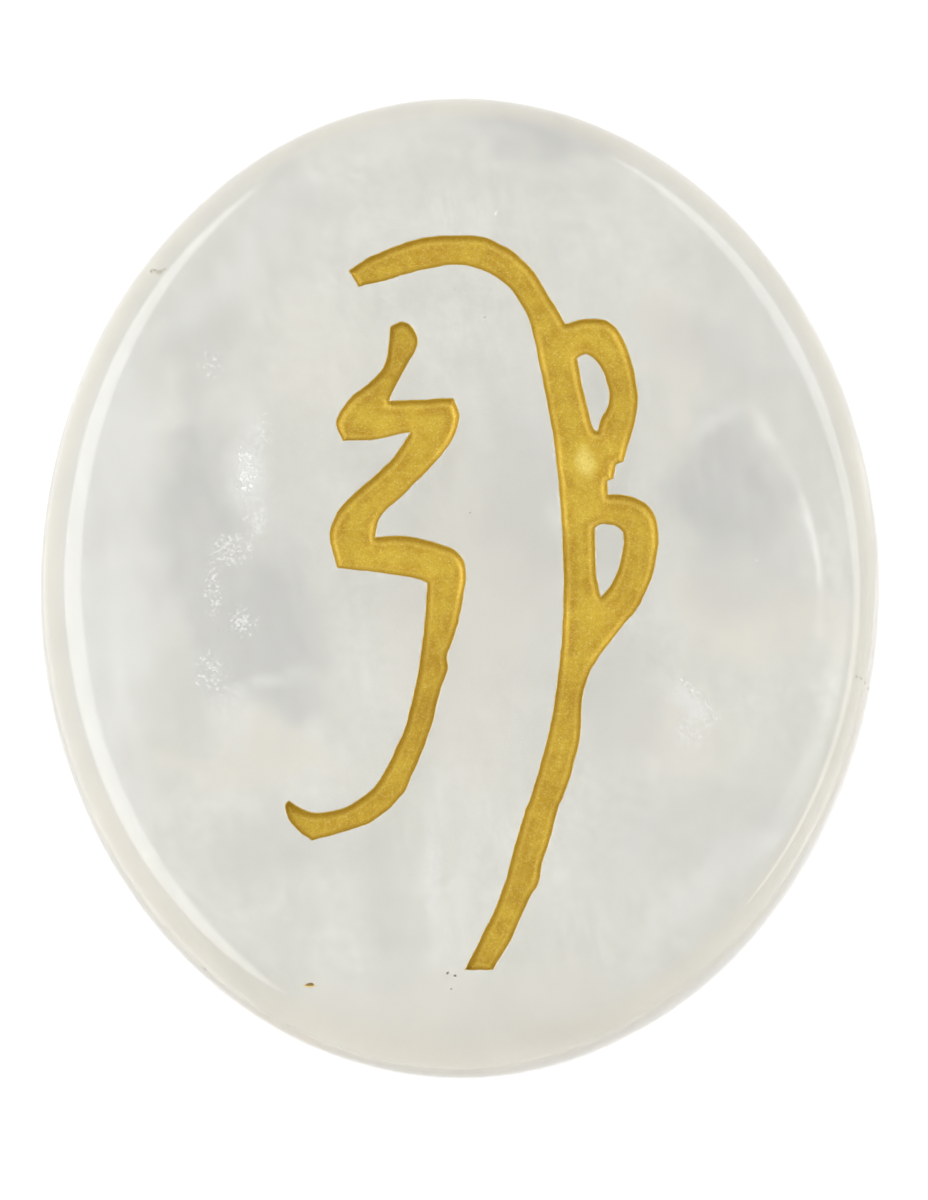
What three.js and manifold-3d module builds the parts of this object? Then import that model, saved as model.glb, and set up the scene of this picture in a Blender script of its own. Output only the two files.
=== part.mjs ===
// Engraved palm stone: an oval of polished clear quartz with a two-figure emblem cut into its face
// and gold paint lying in the bottom of the cut.
// Millimetres, +Z up. The stone lies on its underside with the engraved face up, its length along +Y.
// The origin is the middle of the flat underside.

import * as THREE from 'three';
import { mergeVertices } from 'three/addons/utils/BufferGeometryUtils.js';
import Module from 'manifold-3d';

// Driving dimensions of the stone
const STONE_LENGTH = 35;
const STONE_WIDTH = 29.7;
const STONE_THICKNESS = 7;
const GIRTH_HEIGHT = 3.2;
const CROWN_DROP = 0.4;
const FACE_SQUARENESS = 12;
const SOLE_SHARE = 0.85;

// Driving dimensions of the engraving and its paint. The emblem's points are scaled to its size on the
// face, and it sits a little below the middle.
const EMBLEM_SCALE = 0.985;
const EMBLEM_DROP = 0.55;
const ENGRAVING_DEPTH = 0.5;
const PAINT_THICKNESS = 0.2;
const PAINT_CLEARANCE = 0.03;
const CUT_OVERSHOOT = 1;

// Fineness of the facets
const FACETS_AROUND = 96;
const SHOULDER_STEPS = 8;
const SHOULDER_SWEEP = THREE.MathUtils.degToRad(80);
const FACE_RINGS = 5;
const BELLY_STEPS = 5;
const STEPS_PER_CURVE_POINT = 2;
const WELD_DISTANCE = 1e-4;

const wasm = await Module();
wasm.setup();

const quartz = new THREE.MeshStandardMaterial({ color: 0xdedcd6, roughness: 0.12, metalness: 0 });
const goldPaint = new THREE.MeshStandardMaterial({ color: 0xc49a2e, roughness: 0.4, metalness: 0.7 });

// The emblem, a traditional brush-drawn sign of two figures, in millimetres from the middle of the
// face. Each run is one smooth curve, and neighbouring runs meet at a sharp corner of the brush stroke.
const ZIGZAG_RUNS = [
  // Rounded upper tip and the right-hand side of the first leg
  [[-2.45, 9.35], [-2.0, 9.55], [-1.6, 9.2], [-1.5, 8.7], [-1.9, 7.9], [-2.35, 7.05], [-2.5, 6.65]],
  // Upper bar
  [[-2.5, 6.65], [-1.2, 6.7], [-0.2, 6.75]],
  // Right-hand side of the second leg
  [[-0.2, 6.75], [0.0, 6.0], [-0.3, 5.15], [-1.0, 4.25], [-2.0, 3.25], [-2.8, 2.45], [-3.0, 1.7]],
  // Lower bar, the shaft and the outside of the hook
  [
    [-3.0, 1.7], [-2.0, 1.75], [-1.0, 1.55], [0.0, 1.1], [0.25, 0.3], [0.0, -1.2], [-0.25, -2.1],
    [-0.45, -2.6], [-0.4, -3.0], [-0.7, -3.9], [-1.05, -5.3], [-1.55, -6.55], [-2.05, -7.6],
    [-3.0, -8.45], [-4.0, -8.85], [-5.25, -9.2],
  ],
  // Blunt end of the hook
  [[-5.25, -9.2], [-5.95, -8.6], [-6.2, -8.0], [-6.05, -7.75]],
  // Inside of the hook and the left-hand side of the shaft
  [
    [-6.05, -7.75], [-5.5, -8.1], [-5.0, -8.2], [-4.05, -8.0], [-3.0, -7.25], [-2.3, -6.0],
    [-1.85, -4.85], [-1.45, -3.0], [-1.25, -1.5], [-1.15, 0.05],
  ],
  // Underside of the lower bar
  [[-1.15, 0.05], [-1.5, 0.2], [-2.7, 0.4], [-4.35, 0.6]],
  // Left-hand side of the second leg
  [[-4.35, 0.6], [-4.6, 1.5], [-4.55, 2.15], [-4.05, 3.0], [-3.0, 3.95], [-2.3, 4.65], [-1.75, 5.5]],
  // Underside of the upper bar
  [[-1.75, 5.5], [-2.1, 5.45], [-3.0, 5.25], [-4.15, 5.2]],
  // Left-hand side of the first leg
  [[-4.15, 5.2], [-4.4, 5.9], [-3.9, 6.75], [-3.0, 7.5], [-2.6, 8.2], [-2.5, 8.9], [-2.45, 9.35]],
];

const LOOPED_STEM_RUNS = [
  // Outside of the arch
  [[-3.95, 11.4], [-3.0, 12.0], [-1.5, 12.55], [0.0, 12.7], [1.2, 12.5], [2.5, 11.55], [3.8, 9.45]],
  // Outside of the upper loop
  [[3.8, 9.45], [4.6, 9.65], [5.4, 9.5], [6.0, 8.6], [6.35, 7.1], [6.3, 6.0], [5.85, 4.45]],
  // Chipped edge between the loops
  [[5.85, 4.45], [5.6, 4.35]],
  [[5.6, 4.35], [5.5, 3.85]],
  [[5.5, 3.85], [5.3, 3.75]],
  [[5.3, 3.75], [5.3, 3.25]],
  // Outside of the lower loop and the right-hand side of the stem
  [
    [5.3, 3.25], [6.1, 3.2], [6.8, 2.8], [7.1, 2.0], [7.0, 0.8], [6.5, -0.6], [5.5, -1.9],
    [4.7, -3.05], [4.4, -4.0], [4.3, -5.5], [3.85, -7.2], [3.5, -8.1], [3.25, -9.1], [2.95, -10.0],
    [2.8, -10.8], [2.5, -11.25], [1.85, -12.7], [1.2, -13.8],
  ],
  // Cut-off foot
  [[1.2, -13.8], [0.2, -13.8]],
  // Left-hand side of the stem and the inside of the arch
  [
    [0.2, -13.8], [1.1, -12.0], [1.6, -10.8], [2.05, -9.1], [2.8, -6.8], [3.25, -5.0], [3.55, -3.0],
    [3.7, -1.0], [3.7, 1.0], [3.6, 3.0], [3.4, 5.0], [3.05, 7.0], [2.65, 9.0], [2.25, 10.1],
    [1.5, 11.05], [0.2, 11.6], [-1.0, 11.5], [-2.3, 11.15], [-3.6, 10.8],
  ],
  // Square start of the arch
  [[-3.6, 10.8], [-3.95, 11.4]],
];

const UPPER_EYE_RUNS = [
  [[4.2, 8.2], [4.6, 8.35], [5.1, 7.8], [5.35, 7.0], [5.3, 6.45], [5.05, 6.0], [4.95, 5.55]],
  [[4.95, 5.55], [4.75, 5.75], [4.45, 7.0], [4.2, 8.2]],
];

const LOWER_EYE_RUNS = [
  [[4.85, 2.05], [5.15, 2.2], [5.8, 1.95], [5.8, 1.1], [5.5, 0.15], [5.05, -0.45]],
  [[5.05, -0.45], [4.9, 0.3], [4.85, 1.2], [4.85, 2.05]],
];

// Height of the polished face at a share of the way from the middle (0) to the widest line (1)
function faceHeightAt(share) {
  const crown = STONE_THICKNESS - CROWN_DROP * share * share - GIRTH_HEIGHT;
  return GIRTH_HEIGHT + crown * Math.sqrt(Math.max(0, 1 - share ** FACE_SQUARENESS));
}

function faceHeight(x, y) {
  return faceHeightAt(Math.hypot((2 * x) / STONE_WIDTH, (2 * y) / STONE_LENGTH));
}

// Half of the lengthwise section, from the middle of the underside round to the middle of the face
function stoneProfile() {
  const halfLength = STONE_LENGTH / 2;
  const points = [new THREE.Vector2(0, 0)];
  for (let step = 0; step <= BELLY_STEPS; step += 1) {
    const angle = (step / BELLY_STEPS) * (Math.PI / 2);
    const share = SOLE_SHARE + (1 - SOLE_SHARE) * Math.sin(angle);
    points.push(new THREE.Vector2(share * halfLength, GIRTH_HEIGHT * (1 - Math.cos(angle))));
  }
  for (let step = 1; step <= SHOULDER_STEPS; step += 1) {
    const angle = (step / SHOULDER_STEPS) * SHOULDER_SWEEP;
    const share = Math.cos(angle) ** (2 / FACE_SQUARENESS);
    points.push(new THREE.Vector2(share * halfLength, faceHeightAt(share)));
  }
  const faceShare = points.at(-1).x / halfLength;
  for (let ring = FACE_RINGS - 1; ring >= 0; ring -= 1) {
    const share = (ring / FACE_RINGS) * faceShare;
    points.push(new THREE.Vector2(share * halfLength, faceHeightAt(share)));
  }
  return points;
}

// A closed solid from a geometry, without the zero-width facets that meet the axis of a lathe
function toSolid(geometry) {
  const bare = geometry.clone();
  bare.deleteAttribute('normal');
  bare.deleteAttribute('uv');
  const welded = mergeVertices(bare, WELD_DISTANCE);
  const corners = welded.index.array;
  const kept = [];
  for (let i = 0; i < corners.length; i += 3) {
    const [a, b, c] = [corners[i], corners[i + 1], corners[i + 2]];
    if (a !== b && b !== c && c !== a) kept.push(a, b, c);
  }
  return new wasm.Manifold(new wasm.Mesh({
    numProp: 3,
    vertProperties: new Float32Array(welded.attributes.position.array),
    triVerts: new Uint32Array(kept),
  }));
}

function toGeometry(solid) {
  const mesh = solid.getMesh();
  const geometry = new THREE.BufferGeometry();
  geometry.setAttribute('position', new THREE.BufferAttribute(mesh.vertProperties, 3));
  geometry.setIndex(new THREE.BufferAttribute(mesh.triVerts, 1));
  geometry.computeVertexNormals();
  return geometry;
}

// Closed outline from its runs, in its place on the face, as a list of points that doesn't repeat the first
function outlinePoints(runs) {
  const path = new THREE.Path();
  path.moveTo(...runs[0][0]);
  for (const run of runs) {
    const rest = run.slice(1).map(([x, y]) => new THREE.Vector2(x, y));
    if (rest.length === 1) path.lineTo(rest[0].x, rest[0].y);
    else path.splineThru(rest);
  }
  const points = path.getPoints(STEPS_PER_CURVE_POINT);
  if (points[0].distanceTo(points.at(-1)) < WELD_DISTANCE) points.pop();
  for (const point of points) {
    point.multiplyScalar(EMBLEM_SCALE);
    point.y -= EMBLEM_DROP;
  }
  return points;
}

// The same outline moved into its own material by a distance, with mitred corners
function movedInward(points, distance, isHole) {
  const turn = THREE.ShapeUtils.isClockWise(points) === isHole ? 1 : -1;
  const count = points.length;
  return points.map((point, i) => {
    const before = point.clone().sub(points[(i + count - 1) % count]).normalize();
    const after = points[(i + 1) % count].clone().sub(point).normalize();
    const bisector = new THREE.Vector2(-before.y - after.y, before.x + after.x).normalize();
    const mitre = distance / Math.max(0.3, bisector.x * -after.y + bisector.y * after.x);
    return point.clone().addScaledVector(bisector, turn * mitre);
  });
}

// A slab with this outline that follows the polished face, between two distances from it
function slabUnderFace(figure, inset, lower, upper) {
  const shape = new THREE.Shape(movedInward(outlinePoints(figure.outline), inset, false));
  shape.holes = figure.eyes.map((runs) => {
    const rim = movedInward(outlinePoints(runs), inset, true);
    return new THREE.Path(rim.reverse());
  });
  const slab = new THREE.ExtrudeGeometry(shape, { depth: 1, bevelEnabled: false });
  const position = slab.attributes.position;
  for (let i = 0; i < position.count; i += 1) {
    const offset = THREE.MathUtils.lerp(lower, upper, position.getZ(i));
    position.setZ(i, faceHeight(position.getX(i), position.getY(i)) + offset);
  }
  return slab;
}

function makeStone(figures) {
  const blank = new THREE.LatheGeometry(stoneProfile(), FACETS_AROUND);
  blank.rotateX(Math.PI / 2);
  blank.scale(STONE_WIDTH / STONE_LENGTH, 1, 1);
  let solid = toSolid(blank);
  for (const figure of figures) {
    solid = solid.subtract(toSolid(slabUnderFace(figure, 0, -ENGRAVING_DEPTH, CUT_OVERSHOOT)));
  }
  const stone = new THREE.Mesh(toGeometry(solid), quartz);
  stone.name = 'quartz_stone';
  return stone;
}

function makePaint(figure) {
  const lower = PAINT_CLEARANCE - ENGRAVING_DEPTH;
  const slab = slabUnderFace(figure, PAINT_CLEARANCE, lower, lower + PAINT_THICKNESS);
  const paint = new THREE.Mesh(slab, goldPaint);
  paint.name = figure.paintName;
  return paint;
}

const figures = [
  { paintName: 'gold_fill_zigzag', outline: ZIGZAG_RUNS, eyes: [] },
  { paintName: 'gold_fill_looped_stem', outline: LOOPED_STEM_RUNS, eyes: [UPPER_EYE_RUNS, LOWER_EYE_RUNS] },
];

const engravedStone = new THREE.Group();
engravedStone.add(makeStone(figures));
for (const figure of figures) engravedStone.add(makePaint(figure));

export default engravedStone;
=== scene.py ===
"""Looks of the engraved quartz palm stone: polished cloudy quartz and gold paint in the engraving.

Everything is worked out in millimetres and made in metres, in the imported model's own frame.
"""

import math
import random

import bpy
import numpy as np
from mathutils import Matrix, Vector, noise
from mathutils.bvhtree import BVHTree
from mathutils.geometry import delaunay_2d_cdt
from mathutils.kdtree import KDTree


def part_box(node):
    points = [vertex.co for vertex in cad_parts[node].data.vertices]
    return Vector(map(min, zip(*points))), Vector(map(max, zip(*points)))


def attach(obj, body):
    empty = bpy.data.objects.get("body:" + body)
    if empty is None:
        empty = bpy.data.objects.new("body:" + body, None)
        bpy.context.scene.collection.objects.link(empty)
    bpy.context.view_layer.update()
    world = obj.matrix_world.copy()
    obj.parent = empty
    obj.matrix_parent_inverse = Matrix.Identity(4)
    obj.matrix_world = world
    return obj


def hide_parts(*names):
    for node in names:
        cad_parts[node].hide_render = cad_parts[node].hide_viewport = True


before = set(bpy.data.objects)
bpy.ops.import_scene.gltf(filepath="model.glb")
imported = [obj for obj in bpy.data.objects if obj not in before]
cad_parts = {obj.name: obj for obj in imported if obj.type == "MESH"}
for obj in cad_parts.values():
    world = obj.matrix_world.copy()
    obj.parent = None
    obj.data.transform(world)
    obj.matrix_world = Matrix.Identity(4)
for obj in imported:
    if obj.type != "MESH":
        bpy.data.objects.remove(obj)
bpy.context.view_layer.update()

MM = 0.001

# The stone, from the frame, and the named sizes of its section
stone_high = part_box("quartz_stone")[1]
HALF_WIDTH = stone_high.x / MM
HALF_LENGTH = stone_high.y / MM
THICKNESS = stone_high.z / MM
GIRTH_HEIGHT = 3.2
CROWN_DROP = 0.4
FACE_SQUARENESS = 12
SOLE_SHARE = 0.85

# The polish left the shoulder sharper towards this side, by up to this much squareness
SHARPER_SIDE = math.radians(-28)
SHARPER_BY = 28
SHARPER_SPREAD = 5

# The engraving and the paint in it
GROOVE_DEPTH = 0.5
GROOVE_WALL = 0.36
GROOVE_ROUNDNESS = 2.4
LIP_WIDTH = 0.07
LIP_DROP = 0.015
PAINT_CLEARANCE = 0.03
PAINT_THICKNESS = 0.03
PAINT_BITE = 0.03
PAINT_EDGE_SHARE = 0.35
PAINT_EDGE_WIDTH = 0.15

# Waves of noise in a surface: the reach of each, how often it comes in a millimetre, its place in the noise
EDGE_WEAR = ((0.028, 1.7, 3), (0.016, 5, 7))
POLISH_WAVES = ((0.05, 0.16, 11), (0.012, 0.5, 23))
FLOOR_MARKS = (0.018, 3, 31)

# A paint solid's upper faces lie flatter than this, its walls stand steeper
TOPMOST_SLOPE = 0.1

# Fineness of the meshes
RIM_SEGMENTS = 288
JOIN_SHARE = 0.84
SHOULDER_RINGS = 22
BELLY_RINGS = 16
SOLE_RINGS = 5
OUTLINE_STEP = 0.09
CORNER_TURN = math.radians(40)
RUN_STEPS = 12
MITRE_FLOOR = 0.3
RINGS_INSIDE = (0.012, 0.03, 0.055, 0.085, 0.12, 0.16, 0.21, 0.27, 0.34, 0.42, 0.5, 0.58)
RINGS_OUTSIDE = (0.025, 0.07, 0.14, 0.24)
RING_SLACK = 0.2
RING_REST = 0.002
THINNED_BEYOND = 0.1
FACE_STEP = 0.36
CLEAR_OUTSIDE = 0.34
CLEAR_INSIDE = 0.64
JOIN_MARGIN = 0.012
CLOSEST_POINTS = 0.006

# Lengths that count as none, in millimetres, and a length beyond the stone in every direction
EQUALLY_NEAR = 1e-9
TINY = 1e-12
JOINED = 1e-7
ENDLESS = 1e6


# Outlines of the engraving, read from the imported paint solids


def face_loops(node):
    """The closed loops round the upper side of a solid, in millimetres, material on their left."""
    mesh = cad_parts[node].data
    edges = set()
    for face in mesh.polygons:
        if face.normal.z > TOPMOST_SLOPE:
            corners = [tuple(round(c / MM, 4) for c in mesh.vertices[v].co) for v in face.vertices]
            edges.update(zip(corners, corners[1:] + corners[:1]))
    following = {a: b for a, b in edges if (b, a) not in edges}
    loops = []
    while following:
        start, point = following.popitem()
        loop = [start]
        while point != start:
            loop.append(point)
            point = following.pop(point)
        loops.append(np.array(loop)[:, :2])
    return sorted(loops, key=len, reverse=True)


def left_normals(loop):
    """Unit normals at the points of a closed loop, into the material on its left, and the mitre there."""
    before = loop - np.roll(loop, 1, axis=0)
    after = np.roll(loop, -1, axis=0) - loop
    before /= np.linalg.norm(before, axis=1)[:, None]
    after /= np.linalg.norm(after, axis=1)[:, None]
    bisector = np.stack([-before[:, 1] - after[:, 1], before[:, 0] + after[:, 0]], axis=1)
    bisector /= np.linalg.norm(bisector, axis=1)[:, None]
    mitre = 1 / np.maximum(MITRE_FLOOR, bisector[:, 1] * after[:, 0] - bisector[:, 0] * after[:, 1])
    return bisector, mitre


def corner_indices(loop):
    """Where a closed loop turns sharply."""
    before = loop - np.roll(loop, 1, axis=0)
    after = np.roll(loop, -1, axis=0) - loop
    cross = before[:, 0] * after[:, 1] - before[:, 1] * after[:, 0]
    dot = (before * after).sum(axis=1)
    return np.nonzero(np.abs(np.arctan2(cross, dot)) > CORNER_TURN)[0]


def smooth_run(points):
    """A Catmull-Rom curve through the points, resampled evenly, without its last point."""
    padded = np.vstack([2 * points[0] - points[1], points, 2 * points[-1] - points[-2]])
    fine = []
    for k in range(1, len(padded) - 2):
        a, b, c, d = padded[k - 1:k + 3]
        for t in np.linspace(0, 1, RUN_STEPS, endpoint=False):
            fine.append(0.5 * (2 * b + (c - a) * t + (2 * a - 5 * b + 4 * c - d) * t * t
                               + (3 * b - a - 3 * c + d) * t ** 3))
    fine = np.array(fine + [points[-1]])
    along = np.concatenate([[0], np.cumsum(np.linalg.norm(np.diff(fine, axis=0), axis=1))])
    count = max(1, round(along[-1] / OUTLINE_STEP))
    marks = np.linspace(0, along[-1], count, endpoint=False)
    return np.stack([np.interp(marks, along, fine[:, k]) for k in (0, 1)], axis=1)


def cut_edge(loop):
    """The groove's own edge from the paint's: moved back by the clearance, smoothed and hand-worn."""
    normals, mitre = left_normals(loop)
    edge = loop - normals * (PAINT_CLEARANCE * mitre)[:, None]
    corners = corner_indices(edge)
    edge = np.roll(edge, -corners[0], axis=0)
    corners = list(corners - corners[0]) + [len(edge)]
    closed = np.vstack([edge, edge[:1]])
    runs = [smooth_run(closed[a:b + 1]) for a, b in zip(corners, corners[1:])]
    fine = np.vstack(runs)
    normals, _ = left_normals(fine)
    wear = [sum(reach * noise.noise(Vector((x * often, y * often, place)))
                for reach, often, place in EDGE_WEAR) for x, y in fine]
    return fine + normals * np.array(wear)[:, None]


FIGURES = {node: [cut_edge(loop) for loop in face_loops(node)]
           for node in ("gold_fill_zigzag", "gold_fill_looped_stem")}
ALL_LOOPS = [loop for figure in FIGURES.values() for loop in figure]


def depth_inside(points, loops):
    """Distance of each point to the loops, positive inside the material that they bound."""
    corners = np.vstack(loops)
    following = np.concatenate([np.roll(np.arange(len(loop)), -1) + first for loop, first in
                                zip(loops, np.cumsum([0] + [len(loop) for loop in loops[:-1]]))])
    preceding = np.empty_like(following)
    preceding[following] = np.arange(len(following))
    tree = KDTree(len(corners))
    for index, (x, y) in enumerate(corners):
        tree.insert((x, y, 0), index)
    tree.balance()
    closest = np.array([tree.find((x, y, 0))[1] for x, y in points])
    distance = np.full(len(points), np.inf)
    side = np.zeros(len(points))
    for start in (preceding[preceding[closest]], preceding[closest], closest, following[closest]):
        step = corners[following[start]] - corners[start]
        offset = points - corners[start]
        along = ((offset * step).sum(axis=1) / (step ** 2).sum(axis=1)).clip(0, 1)
        away = np.linalg.norm(offset - along[:, None] * step, axis=1)
        cross = step[:, 0] * offset[:, 1] - step[:, 1] * offset[:, 0]
        lean = cross / np.linalg.norm(step, axis=1)
        level = np.abs(away - distance) < EQUALLY_NEAR
        side = np.where(away < distance - EQUALLY_NEAR, lean, np.where(level, side + lean, side))
        distance = np.minimum(distance, away)
    return np.where(side > 0, distance, -distance)


# Shape of the stone


def squareness(points):
    """The power of the superellipse of the upper side, over each point."""
    turn = np.arctan2(points[:, 1] / HALF_LENGTH, points[:, 0] / HALF_WIDTH)
    return FACE_SQUARENESS + SHARPER_BY * np.maximum(0, np.cos(turn - SHARPER_SIDE)) ** SHARPER_SPREAD


def crown_height(share):
    """Height of the face over the widest place, at a share of the half sizes."""
    return THICKNESS - CROWN_DROP * share ** 2 - GIRTH_HEIGHT


def groove_depth(inside):
    """How far the surface lies under the polished face, from the distance inside the cut's edge."""
    wall = 1 - (inside / GROOVE_WALL).clip(0, 1)
    cut = (1 - wall ** GROOVE_ROUNDNESS) ** (1 / GROOVE_ROUNDNESS)
    lip = LIP_DROP * (1 + inside / LIP_WIDTH).clip(0, 1) ** 2
    return lip + (GROOVE_DEPTH - LIP_DROP) * cut


def spaced_out(points):
    """The points that keep clear of those before them."""
    cells = {}
    chosen = []
    for x, y in points:
        i, j = int(x // CLOSEST_POINTS), int(y // CLOSEST_POINTS)
        around = [(i + di, j + dj) for di in (-1, 0, 1) for dj in (-1, 0, 1)]
        others = [other for cell in around for other in cells.get(cell, ())]
        if all((ox - x) ** 2 + (oy - y) ** 2 >= CLOSEST_POINTS ** 2 for ox, oy in others):
            cells.setdefault((i, j), []).append((x, y))
            chosen.append((x, y))
    return np.array(chosen)


def oval_ring(share):
    """Points round the stone at a share of its half sizes, one share for all or one for each."""
    turn = np.arange(RIM_SEGMENTS) * 2 * np.pi / RIM_SEGMENTS
    return np.stack([HALF_WIDTH * share * np.cos(turn), HALF_LENGTH * share * np.sin(turn)], axis=1)


def face_points(loops):
    """Points of the engraved face: rings along each cut's edge and an even spread between."""
    rings = []
    for loop in loops:
        normals, _ = left_normals(loop)
        for distance in RINGS_INSIDE:
            rings.append((distance, loop + normals * distance))
        for distance in RINGS_OUTSIDE:
            thinned = 1 if distance < THINNED_BEYOND else 2
            rings.append((-distance, (loop - normals * distance)[::thinned]))
    kept = []
    for distance, points in rings:
        true = depth_inside(points, loops)
        kept.append(points[np.abs(true - distance) < RING_SLACK * abs(distance) + RING_REST])
    near = spaced_out(np.vstack(kept))
    rows = []
    for row in range(int(-HALF_LENGTH / FACE_STEP), int(HALF_LENGTH / FACE_STEP) + 1):
        shift = 0.5 * FACE_STEP * (row % 2)
        columns = np.arange(-HALF_WIDTH + shift, HALF_WIDTH, FACE_STEP)
        rows.append(np.stack([columns, np.full(len(columns), row * FACE_STEP)], axis=1))
    spread = np.vstack(rows)
    share = np.hypot(spread[:, 0] / HALF_WIDTH, spread[:, 1] / HALF_LENGTH)
    spread = spread[share < JOIN_SHARE - JOIN_MARGIN]
    inside = depth_inside(spread, loops)
    return near, spread[(inside < -CLEAR_OUTSIDE) | (inside > CLEAR_INSIDE)]


def triangulated_face():
    """The engraved face as flat points and triangles. The outer ring's points come first."""
    near, spread = face_points(ALL_LOOPS)
    ring = oval_ring(JOIN_SHARE)
    edges = []
    points = [ring]
    total = 0
    for loop in [ring] + ALL_LOOPS:
        count = len(loop)
        edges += [(total + k, total + (k + 1) % count) for k in range(count)]
        if total:
            points.append(loop)
        total += count
    flat = np.vstack(points + [near, spread])
    made = delaunay_2d_cdt([Vector(p) for p in flat], edges, [], 0, JOINED)
    origin = [next(iter(o), None) for o in made[3]]
    order = {o: k for k, o in enumerate(origin) if o is not None}
    first = [order[k] for k in range(RIM_SEGMENTS)]
    rest = sorted(set(range(len(made[0]))) - set(first))
    renumber = {old: new for new, old in enumerate(first + rest)}
    coords = np.array([made[0][old] for old in first + rest])
    faces = np.array([[renumber[v] for v in face] for face in made[2]])
    return coords, faces


def unevenness(position):
    """How far the hand-polished surface lies off the true form, away from the flat sole."""
    x, y, z = position
    waves = sum(reach * noise.noise(Vector((x * often, y * often, z * often + place)))
                for reach, often, place in POLISH_WAVES)
    return waves * min(1, z / GIRTH_HEIGHT)


def object_from(name, vertices, faces, material, smooth=True):
    """A new piece of the stone from vertices in millimetres."""
    mesh = bpy.data.meshes.new(name)
    mesh.from_pydata((np.asarray(vertices) * MM).tolist(), [], [list(map(int, f)) for f in faces])
    mesh.update()
    if smooth:
        mesh.shade_smooth()
    mesh.materials.append(material)
    piece = bpy.data.objects.new(name, mesh)
    bpy.context.scene.collection.objects.link(piece)
    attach(piece, "root")
    return piece


def stone_surface():
    """Vertices and faces of the whole stone, and which faces belong to the engraved face."""
    flat, face_triangles = triangulated_face()
    share = np.hypot(flat[:, 0] / HALF_WIDTH, flat[:, 1] / HALF_LENGTH)
    inside = depth_inside(flat, ALL_LOOPS)
    height = GIRTH_HEIGHT + crown_height(share) * np.sqrt(1 - share ** squareness(flat))
    height -= groove_depth(inside)
    reach, often, place = FLOOR_MARKS
    marks = [reach * noise.noise(Vector((x * often, y * often, place))) for x, y in flat]
    height += np.array(marks) * (inside / GROOVE_WALL).clip(0, 1)
    vertices = [np.column_stack([flat, height])]
    faces = face_triangles.tolist()

    square = squareness(oval_ring(1))
    start = np.arccos(JOIN_SHARE ** (square / 2))
    sections = []
    for step in range(1, SHOULDER_RINGS + 1):
        angle = start * (1 - step / SHOULDER_RINGS)
        at = np.cos(angle) ** (2 / square)
        sections.append((at, GIRTH_HEIGHT + crown_height(at) * np.sin(angle)))
    for step in range(1, BELLY_RINGS + 1):
        angle = (1 - step / BELLY_RINGS) * math.pi / 2
        at = SOLE_SHARE + (1 - SOLE_SHARE) * math.sin(angle)
        sections.append((at, np.full(RIM_SEGMENTS, GIRTH_HEIGHT * (1 - math.cos(angle)))))
    for step in range(1, SOLE_RINGS):
        sections.append((SOLE_SHARE * (1 - step / SOLE_RINGS), np.zeros(RIM_SEGMENTS)))

    upper = np.arange(RIM_SEGMENTS)
    total = len(flat)
    for at, z in sections:
        vertices.append(np.column_stack([oval_ring(at), z]))
        lower = np.arange(total, total + RIM_SEGMENTS)
        faces += np.column_stack([upper, lower, np.roll(lower, -1), np.roll(upper, -1)]).tolist()
        upper = lower
        total += RIM_SEGMENTS
    vertices.append(np.zeros((1, 3)))
    faces += [[a, total, b] for a, b in zip(upper, np.roll(upper, -1))]
    return np.vstack(vertices), faces, face_triangles


def vertex_normals(vertices, faces):
    normals = np.zeros_like(vertices)
    for face in faces:
        corners = vertices[face]
        normals[face] += np.cross(corners[1] - corners[0], corners[-1] - corners[0])
    return normals / np.maximum(np.linalg.norm(normals, axis=1), TINY)[:, None]


def uneven(vertices):
    """The stone's vertices moved off the true form, square to the smooth surface under the engraving."""
    share = np.hypot(vertices[:, 0] / HALF_WIDTH, vertices[:, 1] / HALF_LENGTH)
    outward = np.column_stack([vertices[:, 0] / HALF_WIDTH ** 2, vertices[:, 1] / HALF_LENGTH ** 2,
                               0 * share])
    outward /= np.maximum(np.linalg.norm(outward, axis=1), TINY)[:, None]
    lean = (share.clip(0, 1) ** FACE_SQUARENESS)[:, None]
    direction = outward * lean + np.array([0, 0, 1]) * (1 - lean)
    offset = np.array([unevenness(v) for v in vertices])
    return vertices + direction * offset[:, None]


# Materials


class Nodes:
    """Short ways to add nodes to a tree."""

    def __init__(self, tree):
        self.tree = tree

    def node(self, kind, **settings):
        made = self.tree.nodes.new(kind)
        for name, value in settings.items():
            setattr(made, name, value)
        return made

    def feed(self, socket, value):
        """Links a socket to another one, or sets its constant."""
        if isinstance(value, bpy.types.NodeSocket):
            self.tree.links.new(value, socket)
        elif socket.type == "RGBA":
            socket.default_value = (*value, 1)
        else:
            socket.default_value = value

    def math(self, operation, *values, clamp=False):
        made = self.node("ShaderNodeMath", operation=operation, use_clamp=clamp)
        for socket, value in zip(made.inputs, values):
            self.feed(socket, value)
        return made.outputs["Value"]

    def step(self, value, low, high):
        """0 below the low value, 1 above the high one, and smooth between."""
        made = self.node("ShaderNodeMapRange", interpolation_type="SMOOTHSTEP")
        self.feed(made.inputs["Value"], value)
        self.feed(made.inputs["From Min"], low)
        self.feed(made.inputs["From Max"], high)
        return made.outputs["Result"]

    def part(self, most, value, low, high):
        """The step between the low and the high value, up to this much."""
        return self.math("MULTIPLY", self.step(value, low, high), most)

    def mix(self, share, first, second):
        made = self.node("ShaderNodeMix", data_type="RGBA")
        colors = [socket for socket in made.inputs if socket.type == "RGBA"]
        self.feed(made.inputs["Factor"], share)
        self.feed(colors[0], first)
        self.feed(colors[1], second)
        return [socket for socket in made.outputs if socket.type == "RGBA"][0]

    def length(self, vector):
        made = self.node("ShaderNodeVectorMath", operation="LENGTH")
        self.feed(made.inputs[0], vector)
        return made.outputs["Value"]


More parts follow.
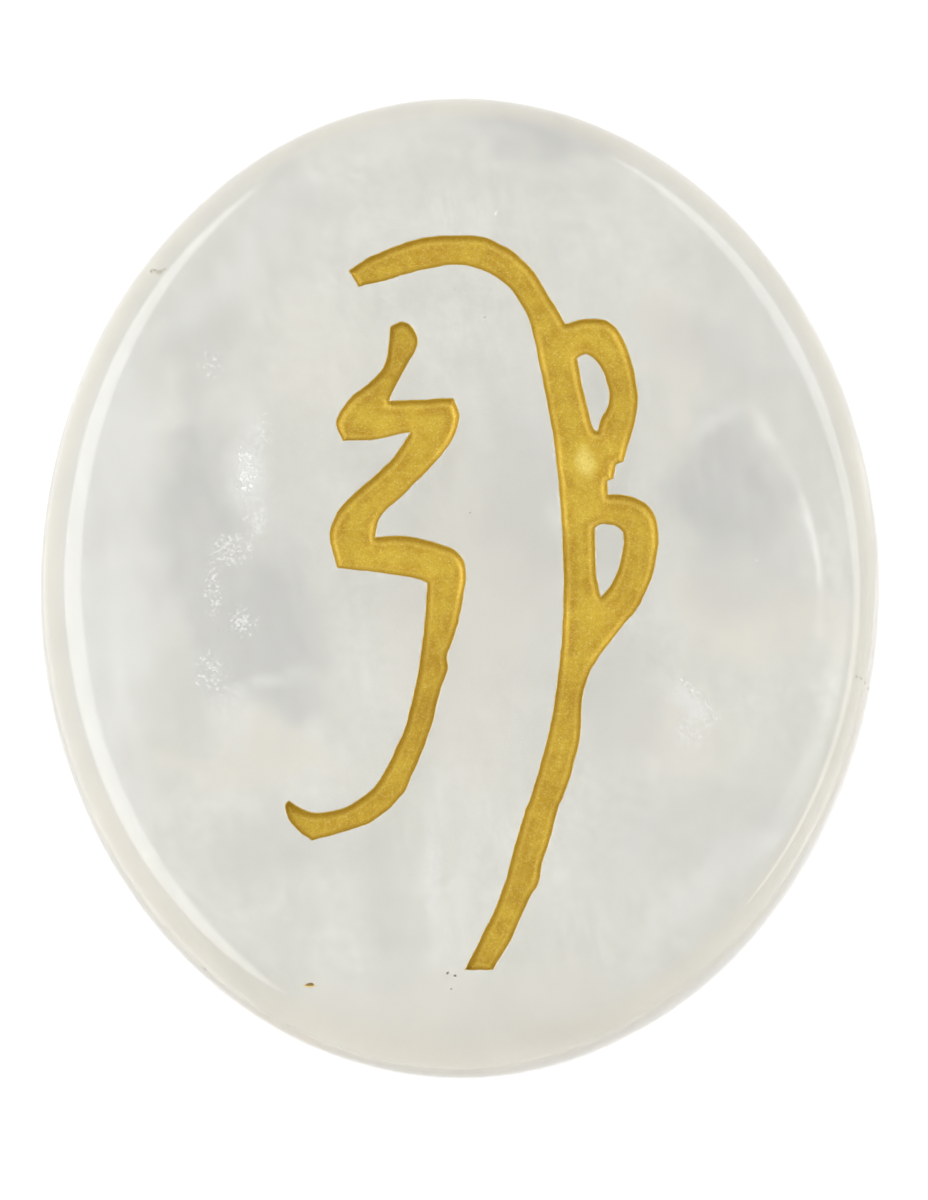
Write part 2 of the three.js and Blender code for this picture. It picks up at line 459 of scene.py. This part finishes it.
class Shader(Nodes):
    """A new material: its Principled shader, and the nodes that colour it by their place on the object."""

    def __init__(self, name):
        self.material = bpy.data.materials.new(name)
        self.material.use_nodes = True
        super().__init__(self.material.node_tree)
        self.principled = self.tree.nodes["Principled BSDF"]
        self.place = self.node("ShaderNodeTexCoord").outputs["Object"]

    def set(self, **values):
        for name, value in values.items():
            self.feed(self.principled.inputs[name.replace("_", " ")], value)

    def noise(self, per_metre, detail, roughness, place=None):
        made = self.node("ShaderNodeTexNoise")
        self.feed(made.inputs["Vector"], place or self.place)
        self.feed(made.inputs["Scale"], per_metre)
        self.feed(made.inputs["Detail"], detail)
        self.feed(made.inputs["Roughness"], roughness)
        return made.outputs["Fac"]

    def moved(self, centre, sizes, turn=0.0):
        """The place about a centre, in units of the sizes, all in millimetres."""
        made = self.node("ShaderNodeMapping", vector_type="TEXTURE")
        self.feed(made.inputs["Vector"], self.place)
        made.inputs["Location"].default_value = [c * MM for c in centre]
        made.inputs["Rotation"].default_value = (0, 0, math.radians(turn))
        made.inputs["Scale"].default_value = [r * MM for r in sizes]
        return made.outputs["Vector"]

    def share_of(self, attribute):
        return self.node("ShaderNodeAttribute", attribute_name=attribute).outputs["Fac"]


# Clouds in the quartz: centre and radii in millimetres, turn in degrees, and how much each shows
CLOUDS = {
    "clear": (
        ((-7.6, 0.2, 6), (4.6, 8.6, 6), 0, 0.3),
        ((-9.3, 2.2, 6), (2.0, 4.8, 5), 0, 0.85),
        ((-7.0, -2.0, 6), (2.7, 3.9, 5), -8, 1.0),
        ((-8.3, -0.6, 6), (1.6, 2.4, 5), 0, 0.5),
        ((-6.1, -4.9, 6), (1.8, 1.4, 5), 20, 0.7),
        ((-9.2, 8.3, 6), (1.8, 3.0, 5), -10, 0.45),
        ((-6.1, 13.6, 6), (1.4, 1.6, 5), 0, 0.4),
        ((-6.1, -9.7, 6), (3.6, 1.8, 5), 10, 0.35),
        ((9.4, 3.1, 6), (2.6, 3.7, 5), 12, 1.0),
        ((10.2, 0.2, 6), (2.6, 2.6, 5), 0, 0.35),
        ((8.9, 7.6, 6), (3.4, 1.8, 5), -25, 0.4),
        ((3.2, 15.9, 5), (4.8, 1.7, 5), -6, 0.9),
        ((2.2, 2.6, 6), (1.8, 4.8, 5), 0, 0.35),
        ((5.9, -4.7, 6), (1.8, 3.2, 5), 0, 0.4),
        ((9.6, -8.6, 6), (3.4, 2.6, 5), 0, 0.3),
        ((-2.4, -11.6, 6), (1.6, 3.4, 5), 0, 0.4),
        ((6.0, -9.4, 6), (3.0, 3.0, 5), 0, 0.3),
    ),
    "warm": (
        ((0.0, -17.4, 5), (14.0, 4.6, 8), 0, 0.8),
        ((-6.8, -6.8, 6), (5.6, 1.3, 6), 4, 0.9),
        ((10.8, -2.0, 6), (4.2, 1.9, 6), -10, 0.9),
        ((7.4, -5.6, 6), (3.4, 2.4, 6), 0, 0.6),
        ((0.5, -2.0, 6), (4.0, 9.0, 6), 0, 0.6),
        ((7.3, 7.0, 6), (1.3, 4.2, 6), 0, 0.8),
        ((-4.6, 7.0, 6), (3.0, 4.0, 6), 0, 0.4),
    ),
    "milky": (
        ((-12.4, 0.0, 6), (3.0, 12.0, 6), 0, 0.8),
        ((-8.2, 10.3, 6), (5.0, 1.1, 6), 40, 0.5),
        ((-6.6, 12.4, 6), (4.0, 0.8, 6), 44, 0.4),
        ((-0.9, -10.4, 6), (0.45, 4.6, 6), -4, 0.55),
        ((0.1, -11.4, 6), (0.4, 3.2, 6), 2, 0.5),
        ((-7.4, 3.6, 6), (1.1, 3.0, 4), 0, 0.7),
        ((-8.0, -5.2, 6), (1.2, 1.6, 4), 0, 0.3),
        ((-6.8, -4.2, 6), (1.9, 0.45, 4), 22, 0.5),
        ((8.3, -4.9, 6), (1.6, 0.8, 4), -38, 0.4),
        ((8.3, -11.3, 6), (0.6, 3.6, 6), -38, 0.5),
        ((9.9, -10.3, 6), (0.5, 3.2, 6), -36, 0.5),
        ((9.0, 5.1, 6), (1.8, 0.5, 4), 24, 0.5),
        ((3.0, 6.0, 6), (1.6, 3.4, 6), 0, 0.3),
        ((11.4, 8.5, 6), (3.0, 4.5, 6), 20, 0.3),
    ),
    "veil": (
        ((-7.4, 3.4, 6.6), (0.6, 1.4, 3), 0, 1.0),
        ((-7.0, 4.9, 6.6), (0.6, 1.0, 3), -30, 0.5),
        ((-7.2, 1.9, 6.6), (0.6, 1.0, 3), 0, 0.6),
        ((-8.0, 0.7, 6.6), (1.1, 0.9, 3), 0, 0.45),
        ((-8.7, -0.7, 6.6), (0.4, 1.4, 3), 0, 0.5),
        ((-7.65, -1.85, 6.6), (0.8, 0.7, 3), 0, 0.55),
        ((-8.7, -3.5, 6.6), (0.8, 1.3, 3), 0, 0.35),
        ((-7.9, -5.2, 6.6), (1.2, 1.6, 3), 0, 0.33),
        ((-8.8, 7.4, 6.6), (0.8, 0.7, 3), 0, 0.33),
        ((8.2, -4.75, 6.6), (1.4, 0.5, 3), -46, 0.8),
        ((8.1, -5.8, 6.6), (1.0, 0.8, 3), 0, 0.55),
        ((1.3, 14.6, 6.6), (0.3, 0.4, 3), 0, 0.7),
        ((-0.9, -10.2, 6.6), (0.4, 2.8, 3), -4, 0.45),
    ),
}

# How far noise drags the outlines of each kind about, how wide its swirls are, and their seed, without which
# they would change with every run
CLOUD_WARP = {"clear": 1.0, "warm": 1.5, "milky": 0.7, "veil": 0.2}
CLOUD_WARP_SIZE = 2.6
CLOUD_WARP_OCTAVES = 3
CLOUD_WARP_SEED = 43

# How far in from its outline a cloud reaches its full strength, as a share of its radii
CLOUD_EDGE = 0.65


def smooth_step(value, low, high):
    """0 below the low value, 1 above the high one, and smooth between."""
    share = ((value - low) / (high - low)).clip(0, 1)
    return share * share * (3 - 2 * share)


def cloud_shares(places, patches):
    """How much of one kind of cloud lies at each place."""
    clear_of_all = np.ones(len(places))
    for centre, radii, turn, most in patches:
        offset = places - np.array(centre)
        c, s = math.cos(math.radians(turn)), math.sin(math.radians(turn))
        along = np.column_stack([offset[:, 0] * c + offset[:, 1] * s, offset[:, 1] * c - offset[:, 0] * s,
                                 offset[:, 2]]) / np.array(radii)
        near = 1 - np.linalg.norm(along, axis=1)
        clear_of_all *= 1 - most * smooth_step(near, 0.0, CLOUD_EDGE)
    return 1 - clear_of_all


# How often the textures of the quartz come in a metre, and the sizes and turn of its streaks
CLOUDS_PER_METRE = 260
GRAINS_PER_METRE = 2600
CRUMBS_PER_METRE = 7000
STREAK_SIZES = (0.55, 2.6, 2.0)
STREAK_TURN = 12

QUARTZ_TINTS = {
    "deep": (0.87, 0.875, 0.815),
    "pale": (0.955, 0.955, 0.90),
    "white_streak": (0.99, 0.99, 0.965),
    "grey_streak": (0.80, 0.80, 0.76),
    "grain": (0.83, 0.82, 0.775),
    "warm": (0.94, 0.905, 0.82),
    "clear": (0.70, 0.70, 0.69),
    "milky": (0.99, 0.99, 0.965),
    "veil": (1.0, 1.0, 0.985),
    # The rim tint is painted shade of the stone's curved side, warmer and darker than the face
    "rim": (0.95, 0.895, 0.78),
}

# The painted shade round the rim, warmer and darker than the face, comes in between these shares of the half
# sizes
RIM_SHADE_BAND = (0.92, 0.97)


def quartz_material():
    """Cloudy quartz: mostly see-through, with clearer, warmer and milky places and white veils in it, and
    painted shade in a band round the rim.

    Each layer of colour comes in between two values of its texture, up to a share of the colour under it.
    """
    shader = Shader("cloudy_quartz")
    tints = QUARTZ_TINTS
    cloud = shader.noise(CLOUDS_PER_METRE, 2, 0.6)
    color = shader.mix(shader.step(cloud, 0.32, 0.68), tints["deep"], tints["pale"])
    streaks = shader.noise(1.0, 3, 0.68, shader.moved((0, 0, 0), STREAK_SIZES, STREAK_TURN))
    color = shader.mix(shader.part(0.4, streaks, 0.5, 0.72), color, tints["white_streak"])
    color = shader.mix(shader.part(0.35, streaks, 0.48, 0.3), color, tints["grey_streak"])
    grain = shader.noise(GRAINS_PER_METRE, 2, 0.7)
    color = shader.mix(shader.part(0.45, grain, 0.35, 0.65), color, tints["grain"])
    broken = shader.math("ADD", cloud, shader.math("MULTIPLY_ADD", streaks, 1.2, -0.1))
    for kind in ("warm", "clear", "milky"):
        near = shader.math("MULTIPLY", shader.share_of(kind), broken, clamp=True)
        color = shader.mix(near, color, tints[kind])
    near = shader.share_of("veil")
    crumbs = shader.noise(CRUMBS_PER_METRE, 1, 0.7)
    white = shader.step(shader.math("MULTIPLY_ADD", near, 0.42, crumbs), 0.63, 0.86)
    color = shader.mix(shader.math("MULTIPLY", white, shader.step(near, 0.02, 0.2)), color, tints["veil"])
    out = shader.length(shader.moved((0, 0, 0), (HALF_WIDTH, HALF_LENGTH, ENDLESS)))
    # Painted shade in a band round the rim, broken up by the clouds
    rim_shade_mottle = shader.math("MULTIPLY_ADD", cloud, 0.8, 0.35, clamp=True)
    rim = shader.math("MULTIPLY", shader.step(out, *RIM_SHADE_BAND), rim_shade_mottle)
    color = shader.mix(rim, color, tints["rim"])
    shader.set(Base_Color=color, Roughness=0.1, IOR=1.54, Transmission_Weight=0.75)
    return shader.material


# Where the paint is paler, in an oval between the two loops, its radii and its turn
PALE_SPOT = (4.45, 3.9)
PALE_SPOT_RADII = (0.5, 0.8)
PALE_SPOT_TURN = 10

MOTTLES_PER_METRE = 1100
METAL_FLAKES_PER_METRE = 22000

GOLD_TINTS = {
    "brown": (0.37, 0.218, 0.010),
    "floor": (0.46, 0.31, 0.023),
    "middle": (0.46, 0.33, 0.027),
    # The wall tint is a painted highlight on the groove's walls, and the edge tint is painted shade at the
    # groove's edge
    "wall": (0.55, 0.39, 0.055),
    "edge": (0.42, 0.27, 0.025),
    "pale_spot": (0.70, 0.58, 0.17),
    "glitter": (0.80, 0.67, 0.22),
    "dull": (0.24, 0.14, 0.01),
}


# Bands of the paint: how much each shows at most, and the distances from the groove's edge where it comes
# in. The wall band is a painted highlight on the groove's walls, and the edge band is painted shade at the
# groove's edge
GOLD_BANDS = {"middle": (0.5, 0.4, 0.65), "wall": (0.55, 0.3, 0.18), "edge": (0.35, 0.07, 0.0)}


def gold_material():
    """Metallic gold paint: brown painted shade at the groove's edge, where the film is thin, a painted
    highlight on the wall, mottled on the floor.
    """
    shader = Shader("gold_paint")
    tints = GOLD_TINTS
    mottle = shader.noise(MOTTLES_PER_METRE, 5, 0.7)
    color = shader.mix(shader.step(mottle, 0.36, 0.64), tints["brown"], tints["floor"])
    from_wall = shader.share_of("from_wall")
    # Painted highlight on the groove's walls and painted shade at its edge, set by the distance from the
    # edge
    for place, (most, low, high) in GOLD_BANDS.items():
        color = shader.mix(shader.part(most, from_wall, low, high), color, tints[place])
    pale_spot_place = shader.moved((*PALE_SPOT, 0), (*PALE_SPOT_RADII, ENDLESS), PALE_SPOT_TURN)
    pale_spot = shader.step(shader.length(pale_spot_place), 1.0, 0.2)
    color = shader.mix(shader.math("MULTIPLY", pale_spot, mottle), color, tints["pale_spot"])
    flakes = shader.node("ShaderNodeTexVoronoi")
    shader.feed(flakes.inputs["Vector"], shader.place)
    shader.feed(flakes.inputs["Scale"], METAL_FLAKES_PER_METRE)
    by_flake = shader.node("ShaderNodeSeparateColor")
    shader.feed(by_flake.inputs["Color"], flakes.outputs["Color"])
    glitter = shader.math("POWER", by_flake.outputs["Red"], 4)
    color = shader.mix(shader.math("MULTIPLY", glitter, 0.22), color, tints["glitter"])
    dull = shader.math("POWER", by_flake.outputs["Blue"], 6)
    color = shader.mix(shader.math("MULTIPLY", dull, 0.3), color, tints["dull"])
    roughness = shader.math("MULTIPLY_ADD", by_flake.outputs["Green"], 0.2, 0.38)
    shader.set(Base_Color=color, Metallic=0.6, Roughness=roughness)
    return shader.material


def plain_material(name, **values):
    """A material with the same look all over."""
    shader = Shader(name)
    shader.set(**values)
    return shader.material


# The stone and its paint


def make_stone(vertices, faces):
    """The stone, and how much of each kind of cloud lies at each of its vertices."""
    stone = object_from("polished_quartz", vertices, faces, quartz_material())
    noise.seed_set(CLOUD_WARP_SEED)
    swirl = np.array([noise.turbulence_vector(Vector(v) / CLOUD_WARP_SIZE, CLOUD_WARP_OCTAVES, False)
                      for v in vertices])
    for kind, patches in CLOUDS.items():
        share = stone.data.attributes.new(kind, "FLOAT", "POINT")
        share.data.foreach_set("value", cloud_shares(vertices + CLOUD_WARP[kind] * swirl, patches))
    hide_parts("quartz_stone")


def make_paint(node, loops, vertices, triangles, material):
    """A closed film of paint on the groove's floor and walls, a little way into the stone below."""
    centres = vertices[triangles].mean(axis=1)[:, :2]
    own = triangles[depth_inside(centres, loops) > 0]
    used = np.unique(own)
    renumber = np.full(len(vertices), -1)
    renumber[used] = np.arange(len(used))
    own = renumber[own]
    floor = vertices[used]
    normals = vertex_normals(floor, own)
    inside = depth_inside(floor[:, :2], loops)
    taper = PAINT_EDGE_SHARE + (1 - PAINT_EDGE_SHARE) * (inside / PAINT_EDGE_WIDTH).clip(0, 1)[:, None]
    film = np.vstack([floor + normals * PAINT_THICKNESS * taper, floor - normals * PAINT_BITE * taper])
    count = len(floor)
    edges = {(a, b) for face in own.tolist() for a, b in zip(face, face[1:] + face[:1])}
    rim = [(a, b) for a, b in edges if (b, a) not in edges]
    faces = own.tolist() + (own[:, ::-1] + count).tolist()
    faces += [[b, a, a + count, b + count] for a, b in rim]
    paint = object_from(node.replace("fill", "paint"), film, faces, material)
    from_wall = paint.data.attributes.new("from_wall", "FLOAT", "POINT")
    from_wall.data.foreach_set("value", np.concatenate([inside, inside]))
    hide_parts(node)


surface, surface_faces, face_triangles = stone_surface()
surface = uneven(surface)
make_stone(surface, surface_faces)
gold = gold_material()
for figure_node, figure_loops in FIGURES.items():
    make_paint(figure_node, figure_loops, surface, face_triangles, gold)


# What is sealed in the stone, and what sits on it


stone_tree = BVHTree.FromPolygons(surface.tolist(), [list(map(int, face)) for face in surface_faces])


def on_surface(x, y):
    """The point of the stone's upper side over a place, and the normal there."""
    point, normal, _, _ = stone_tree.ray_cast(Vector((x, y, 2 * THICKNESS)), Vector((0, 0, -1)))
    return point, normal


# A flake's corners, how unevenly these lie, how far each reaches, and the thickness as a share of the width
FLAKE_CORNERS = (5, 7)
FLAKE_RAGGEDNESS = 0.3
FLAKE_REACH = (0.6, 1.0)
FLAKE_FLATNESS = 0.4

# The slivers of a crack: how far they stray and overlap, their width from start to end, and their thickness
SLIVER_STRAY = 0.3
SLIVER_OVERLAP = 1.6
SLIVER_WIDE = 1.2
SLIVER_TAPER = 0.6
SLIVER_FLATNESS = 0.5

# Strewn flakes are this much larger than the sizes given, and they keep clear of the rim and the grooves
STREWN_GROWTH = 1.3
STREWN_LIMIT = 0.92
STREWN_GROOVE_ROOM = 0.25

# Each mesh of flakes: the seed of its random draws, its material's name, its colour and its roughness
FLAKE_LOOKS = {
    "white_veil": (11, "veil_white", (0.54, 0.54, 0.52), 0.6),
    "dark_grit": (23, "dark_grit", (0.16, 0.13, 0.09), 0.7),
    "rim_nicks": (29, "rim_nick", (0.30, 0.28, 0.22), 0.6),
    "brown_fleck": (37, "brown_fleck", (0.16, 0.09, 0.015), 0.7),
    "ochre_stain": (41, "ochre_stain", (0.52, 0.40, 0.16), 0.7),
}


class Flakes:
    """Small closed flakes gathered in one mesh."""

    def __init__(self, name):
        self.name = name
        self.rng = random.Random(FLAKE_LOOKS[name][0])
        self.vertices = []
        self.faces = []

    def add(self, centre, normal, length, width, thickness, turn):
        """One ragged flake, its length turned from +X about its normal."""
        along = Vector((math.cos(turn), math.sin(turn), 0))
        along = (along - normal * along.dot(normal)).normalized()
        across = normal.cross(along)
        corners = self.rng.randint(*FLAKE_CORNERS)
        first = len(self.vertices)
        for k in range(corners):
            angle = 2 * math.pi * (k + self.rng.uniform(-FLAKE_RAGGEDNESS, FLAKE_RAGGEDNESS)) / corners
            reach = self.rng.uniform(*FLAKE_REACH)
            self.vertices.append(centre + along * (length / 2 * reach * math.cos(angle))
                                 + across * (width / 2 * reach * math.sin(angle)))
        self.vertices += [centre + normal * thickness / 2, centre - normal * thickness / 2]
        for k in range(corners):
            a, b = first + k, first + (k + 1) % corners
            self.faces += [(a, b, first + corners), (b, a, first + corners + 1)]

    def scatter(self, path, count, spread, size, stretch=1.0):
        """Flakes strewn along a path, where they meet the polished face, small ones the most common."""
        legs = list(zip(path, path[1:]))
        places = []
        for _ in range(count):
            (ax, ay), (bx, by) = self.rng.choice(legs)
            t = self.rng.random()
            places.append((ax + (bx - ax) * t + self.rng.gauss(0, spread),
                           ay + (by - ay) * t + self.rng.gauss(0, spread), math.atan2(by - ay, bx - ax)))
        flat = np.array(places)[:, :2]
        share = np.hypot(flat[:, 0] / HALF_WIDTH, flat[:, 1] / HALF_LENGTH)
        room = (share < STREWN_LIMIT) & (depth_inside(flat, ALL_LOOPS) < -STREWN_GROOVE_ROOM)
        for x, y, way in (place for place, kept in zip(places, room) if kept):
            big = STREWN_GROWTH * (size[0] + (size[1] - size[0]) * self.rng.random() ** 3)
            turn = math.degrees(way) if stretch > 1 else self.rng.uniform(0, 360)
            self.speck(x, y, big * stretch, big, turn)

    def line(self, start, end, width, steps):
        """A fine crack or scratch: slivers end to end along the surface, half sunk in it."""
        turn = math.atan2(end[1] - start[1], end[0] - start[0])
        length = math.dist(start, end) / steps
        for k in range(steps):
            share = (k + 0.5) / steps
            x = start[0] + (end[0] - start[0]) * share
            stray = self.rng.uniform(-SLIVER_STRAY, SLIVER_STRAY) * width
            y = start[1] + (end[1] - start[1]) * share + stray
            top, normal = on_surface(x, y)
            self.add(top, normal, length * SLIVER_OVERLAP, width * (SLIVER_WIDE - SLIVER_TAPER * share),
                     width * SLIVER_FLATNESS, turn)

    def speck(self, x, y, length, width, turn=0.0):
        """One flake where the surface lies over a place, its turn in degrees."""
        top, normal = on_surface(x, y)
        self.add(top, normal, length, width, min(length, width) * FLAKE_FLATNESS, math.radians(turn))

    def finish(self):
        _, material, color, roughness = FLAKE_LOOKS[self.name]
        material = plain_material(material, Base_Color=color, Roughness=roughness)
        object_from(self.name, self.vertices, self.faces, material, smooth=False)


# Bright crumbs of the white veil down the left side, of the feather on the right, and stray ones: the path
# they lie along, how many, how far they stray, their least and largest size, and how much longer than wide
VEIL_CRUMBS = (
    (((-7.4, 4.2), (-7.5, 2.8)), 90, 0.14, (0.05, 0.16), 1.0),
    (((-7.3, 2.6), (-7.1, 1.3)), 26, 0.14, (0.03, 0.08), 1.0),
    (((-8.4, 1.0), (-7.7, 0.3)), 22, 0.25, (0.025, 0.06), 1.0),
    (((-8.7, 0.3), (-8.7, -1.4)), 10, 0.1, (0.025, 0.05), 1.0),
    (((-7.9, -1.6), (-7.4, -2.1)), 14, 0.18, (0.03, 0.08), 1.0),
    (((-8.9, -2.9), (-8.6, -4.3)), 30, 0.22, (0.03, 0.08), 1.0),
    (((-8.3, -4.6), (-8.1, -5.4), (-8.4, -6.6)), 16, 0.35, (0.025, 0.05), 1.0),
    (((-8.6, 8.0), (-7.6, 5.6)), 12, 0.5, (0.025, 0.05), 1.0),
    (((-9.5, 4.5), (-9.0, -4.0)), 22, 0.9, (0.02, 0.045), 1.0),
    (((7.6, -3.9), (8.3, -4.3), (8.8, -4.9), (9.1, -5.4)), 34, 0.08, (0.03, 0.07), 3.0),
    (((7.6, -5.4), (8.2, -6.0)), 12, 0.35, (0.02, 0.045), 1.0),
    (((-9.0, -9.0), (-5.0, -12.0)), 14, 1.3, (0.02, 0.045), 1.0),
    (((7.4, 9.4), (8.6, 5.4), (8.0, 3.0)), 12, 0.5, (0.02, 0.04), 1.0),
)

# Little knots of crumbs: where each lies and its largest crumb. Then how many crumbs each has, how far they
# stray and their least size, as shares of the largest
CRUMB_KNOTS = (
    (1.34, 14.7, 0.14), (1.26, 12.8, 0.12), (4.97, 12.7, 0.08), (10.4, 0.35, 0.1),
    (9.3, 0.0, 0.06), (-4.6, -2.0, 0.07), (-3.9, -6.9, 0.07), (-11.6, -9.3, 0.07),
)
KNOT_COUNT = 4
KNOT_STRAY = 0.5
KNOT_LEAST = 0.4

# Dark grit: where each grain lies, its length and width, and its turn in degrees
DARK_GRIT = (
    (-0.4, -14.25, 0.2, 0.12, 40), (-0.15, -14.34, 0.16, 0.1, 0), (-0.28, -14.8, 0.1, 0.08, 0),
    (-8.95, -13.8, 0.18, 0.1, -40), (-0.15, 10.0, 0.06, 0.05, 0), (0.9, 9.0, 0.08, 0.06, 30),
    (1.1, 10.0, 0.06, 0.05, 0), (1.35, 9.6, 0.05, 0.05, 0), (0.38, 2.0, 0.09, 0.07, 0),
    (-7.3, -12.3, 0.08, 0.05, 20), (-6.0, -15.8, 0.16, 0.08, 10),
)

# Nicks and a hairline in the rim: start, end, width and number of slivers
RIM_NICKS = (
    ((-10.94, 11.0), (-10.6, 10.8), 0.2, 3),
    ((-10.64, 10.8), (-10.36, 10.92), 0.17, 2),
    ((14.5, -3.86), (13.9, -3.66), 0.09, 4),
)

# The brown fleck and the ochre stain round it, each as the grit is
BROWN_FLECK = (-5.25, -14.6, 0.38, 0.2, 8)
OCHRE_STAIN = (-5.27, -14.64, 0.56, 0.14, 8)


def make_white_veil():
    veil = Flakes("white_veil")
    for crumbs in VEIL_CRUMBS:
        veil.scatter(*crumbs)
    for x, y, size in CRUMB_KNOTS:
        veil.scatter(((x, y), (x, y)), KNOT_COUNT, size * KNOT_STRAY, (size * KNOT_LEAST, size))
    veil.finish()


def make_marks():
    """Dark grit, faint nicks in the rim, and the one brown fleck with its ochre rim."""
    dark = Flakes("dark_grit")
    for grain in DARK_GRIT:
        dark.speck(*grain)
    dark.finish()
    nicks = Flakes("rim_nicks")
    for nick in RIM_NICKS:
        nicks.line(*nick)
    nicks.finish()
    for name, place in (("brown_fleck", BROWN_FLECK), ("ochre_stain", OCHRE_STAIN)):
        fleck = Flakes(name)
        fleck.speck(*place)
        fleck.finish()


make_white_veil()
make_marks()


# Stage, light and camera


# The floor reaches this far each way, in metres, and lies this far under the stone, in millimetres
FLOOR_REACH = 1.5
FLOOR_GAP = 0.02


def make_stage():
    """A plain pale floor that keeps out of the stone's gloss."""
    mesh = bpy.data.meshes.new("floor")
    corners = [(x * FLOOR_REACH, y * FLOOR_REACH, 0) for x, y in ((-1, -1), (1, -1), (1, 1), (-1, 1))]
    mesh.from_pydata(corners, [], [(0, 1, 2, 3)])
    mesh.materials.append(plain_material("pale_floor", Base_Color=(0.93, 0.93, 0.93), Roughness=0.9))
    floor = bpy.data.objects.new("floor", mesh)
    floor.location.z = -FLOOR_GAP * MM
    floor.visible_glossy = False
    bpy.context.scene.collection.objects.link(floor)


# The white room: how far up a direction points, from 0 for down to 1 for up, and the radiance there
ROOM = ((0.46, 1.12), (0.54, 1.06), (0.85, 1.46))

# Oval softboxes in the room: azimuth anticlockwise from +X and elevation in degrees, width and height
# seen from the stone as tangents, radiance, and turn about the line of sight in degrees
SOFTBOXES = {
    "left": (178, 16.5, 2.93, 0.57, 4.1, 0),
    "right": (15, 14, 2.5, 0.46, 3.7, 0),
    "upper": (42.6, 72.75, 0.105, 0.037, 8.0, -63),
}


# A softbox fades out between these distances from its middle, in units of its half sizes
SOFTBOX_BORDER = (1.12, 0.82)
LEAST_AHEAD = 1e-4


def softbox_share(nodes, direction, azimuth, elevation, width, height, turn):
    """1 where a direction meets the softbox, 0 outside, soft at its border."""
    a, e = math.radians(azimuth), math.radians(elevation)
    away = Vector((math.cos(a) * math.cos(e), math.sin(a) * math.cos(e), math.sin(e)))
    across = Vector((-math.sin(a), math.cos(a), 0))
    facing = Matrix((across, away.cross(across), away)).transposed()
    facing = facing @ Matrix.Rotation(math.radians(turn), 3, "Z")
    seen = nodes.node("ShaderNodeMapping")
    nodes.feed(seen.inputs["Vector"], direction)
    seen.inputs["Rotation"].default_value = facing.transposed().to_euler()
    parts = nodes.node("ShaderNodeSeparateXYZ")
    nodes.feed(parts.inputs["Vector"], seen.outputs["Vector"])
    ahead = nodes.math("MAXIMUM", parts.outputs["Z"], LEAST_AHEAD)
    place = nodes.node("ShaderNodeCombineXYZ")
    nodes.feed(place.inputs["X"], nodes.math("DIVIDE", parts.outputs["X"], ahead))
    nodes.feed(place.inputs["Y"], nodes.math("DIVIDE", parts.outputs["Y"], ahead))
    sized = nodes.node("ShaderNodeVectorMath", operation="DIVIDE")
    nodes.feed(sized.inputs[0], place.outputs["Vector"])
    sized.inputs[1].default_value = (width / 2, height / 2, 1)
    return nodes.step(nodes.length(sized.outputs["Vector"]), *SOFTBOX_BORDER)


def make_lights():
    """A bright white room, with a long softbox low on each side and a small one above to the right."""
    world = bpy.data.worlds.new("studio")
    world.use_nodes = True
    nodes = Nodes(world.node_tree)
    direction = nodes.node("ShaderNodeTexCoord").outputs["Generated"]
    parts = nodes.node("ShaderNodeSeparateXYZ")
    nodes.feed(parts.inputs["Vector"], direction)
    rise = nodes.math("MULTIPLY_ADD", parts.outputs["Z"], 0.5, 0.5)
    ramp = nodes.node("ShaderNodeValToRGB")
    ramp.color_ramp.elements.new(0.5)
    for element, (at, level) in zip(ramp.color_ramp.elements, ROOM):
        element.position = at
        element.color = (level, level, level, 1)
    nodes.feed(ramp.inputs["Fac"], rise)
    color = ramp.outputs["Color"]
    for azimuth, elevation, width, height, radiance, turn in SOFTBOXES.values():
        share = softbox_share(nodes, direction, azimuth, elevation, width, height, turn)
        color = nodes.mix(share, color, (radiance, radiance, radiance))
    nodes.feed(nodes.tree.nodes["Background"].inputs["Color"], color)
    world.cycles.sampling_method = "NONE"
    bpy.context.scene.world = world


# The photograph's frame, and where the stone lies in it
FRAME_WIDTH_PX = 928
FRAME_HEIGHT_PX = 1200
STONE_CENTRE_PX = (459.3, 585.9)
STONE_LENGTH_PX = 976.6
CAMERA_TILT = math.radians(9)
CAMERA_LENS = 400
SENSOR = 36

# What the camera sees lies between these distances, in metres
CLIP_START = 0.05
CLIP_END = 5


def make_camera():
    """A long lens a little off straight above, on the side of the emblem's foot."""
    seen_length = 2 * HALF_LENGTH * math.cos(CAMERA_TILT) * MM
    scale = seen_length / STONE_LENGTH_PX
    data = bpy.data.cameras.new("camera")
    data.sensor_fit = "AUTO"
    data.sensor_width = SENSOR
    data.lens = CAMERA_LENS
    camera = bpy.data.objects.new("camera", data)
    away = Vector((0, -math.sin(CAMERA_TILT), math.cos(CAMERA_TILT)))
    up = Vector((0, math.cos(CAMERA_TILT), math.sin(CAMERA_TILT)))
    right_offset = (FRAME_WIDTH_PX / 2 - STONE_CENTRE_PX[0]) * scale
    up_offset = (STONE_CENTRE_PX[1] - FRAME_HEIGHT_PX / 2) * scale
    target = Vector((right_offset, 0, GIRTH_HEIGHT * MM)) + up * up_offset
    distance = CAMERA_LENS / SENSOR * FRAME_HEIGHT_PX * scale
    camera.matrix_world = Matrix.Translation(target + away * distance) @ Matrix((
        (1, 0, 0), (0, up.y, away.y), (0, up.z, away.z))).to_4x4()
    data.clip_start = CLIP_START
    data.clip_end = CLIP_END
    bpy.context.scene.collection.objects.link(camera)
    bpy.context.scene.camera = camera


make_stage()
make_lights()
make_camera()
bpy.context.scene.view_settings.view_transform = "Standard"
bpy.context.scene.cycles.max_bounces = 5
bpy.context.scene.cycles.diffuse_bounces = 2
